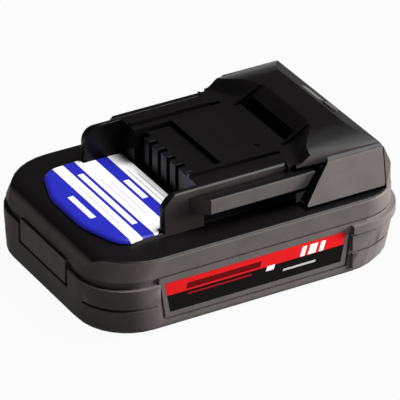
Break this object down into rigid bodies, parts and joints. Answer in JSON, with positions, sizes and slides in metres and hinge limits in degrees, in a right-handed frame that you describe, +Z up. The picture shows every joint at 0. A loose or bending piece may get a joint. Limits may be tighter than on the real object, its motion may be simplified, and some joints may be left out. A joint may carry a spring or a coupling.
{
  "type": "slide-on power tool battery pack",
  "caption": "Slide-on rechargeable battery pack for a cordless power tool, with side rails, slotted terminals, sprung release tabs and a charge gauge.",
  "frame": {"origin": "middle of the base, on the surface that the pack stands on", "axes": "+Z up; -X towards the front end that enters the tool first; -Y to the left side, +Y to the right side"},
  "size_m": [0.1191, 0.0844, 0.0466],
  "materials": {
    "upper_case": "satin moulded, fine grain",
    "lower_case": "satin moulded, fine grain",
    "tab": "satin moulded",
    "terminal_plastic": "satin",
    "inner_plastic": "matt",
    "contact": "bright",
    "steel": "bright",
    "nickel": "dull",
    "label_film": "printed film",
    "sticker_film": "printed film",
    "cell": "shrink sleeve",
    "insulator": "fibre sheet",
    "foam": "matt foam",
    "board": "solder mask",
    "chip": "moulded epoxy",
    "lens": "smoked clear",
    "light": "clear",
    "button": "satin",
    "ribbon": "satin"
  },
  "bodies": {
    "case": {"lower_housing": "lower_case", "upper_housing": "upper_case", "case_screws": "steel", "terminal_block": "terminal_plastic", "power_terminals": "contact", "signal_terminals": "contact", "left_tab_pin": "steel", "right_tab_pin": "steel", "left_tab_spring": "steel", "right_tab_spring": "steel", "left_side_label": "label_film", "right_side_label": "label_film", "top_sticker": "sticker_film", "cell_1": "cell", "cell_2": "cell", "cell_3": "cell", "cell_4": "cell", "cell_5": "cell", "left_cell_holder": "inner_plastic", "right_cell_holder": "inner_plastic", "series_straps": "nickel", "positive_bus": "nickel", "negative_bus": "nickel", "left_insulator": "insulator", "right_insulator": "insulator", "foam_pad": "foam", "control_board": "board", "power_transistors": "chip", "control_chip": "chip", "thermistor": "chip", "gauge_board": "board", "gauge_switch": "inner_plastic", "gauge_lights": "light", "gauge_lens": "lens", "gauge_ribbon": "ribbon"},
    "left_tab": {"left_release_tab": "tab"},
    "right_tab": {"right_release_tab": "tab"},
    "gauge_key": {"gauge_button": "button"}
  },
  "joints": [
    {"name": "left_tab_hinge", "type": "hinge", "parent": "case", "child": "left_tab", "pos_m": [0.0475, -0.031, 0.035], "axis": [0, 0, -1], "range_deg": [0, 4.5], "stiffness_Nm_per_rad": 0.05, "springref_deg": -17.19},
    {"name": "right_tab_hinge", "type": "hinge", "parent": "case", "child": "right_tab", "pos_m": [0.0475, 0.031, 0.035], "axis": [0, 0, 1], "range_deg": [0, 4.5], "stiffness_Nm_per_rad": 0.05, "springref_deg": -17.19},
    {"name": "gauge_press", "type": "slide", "parent": "case", "child": "gauge_key", "axis": [-0.4679, 0, -0.8838], "range_m": [0, 0.0006], "stiffness_N_per_m": 20, "springref_m": -0.002}
  ]
}
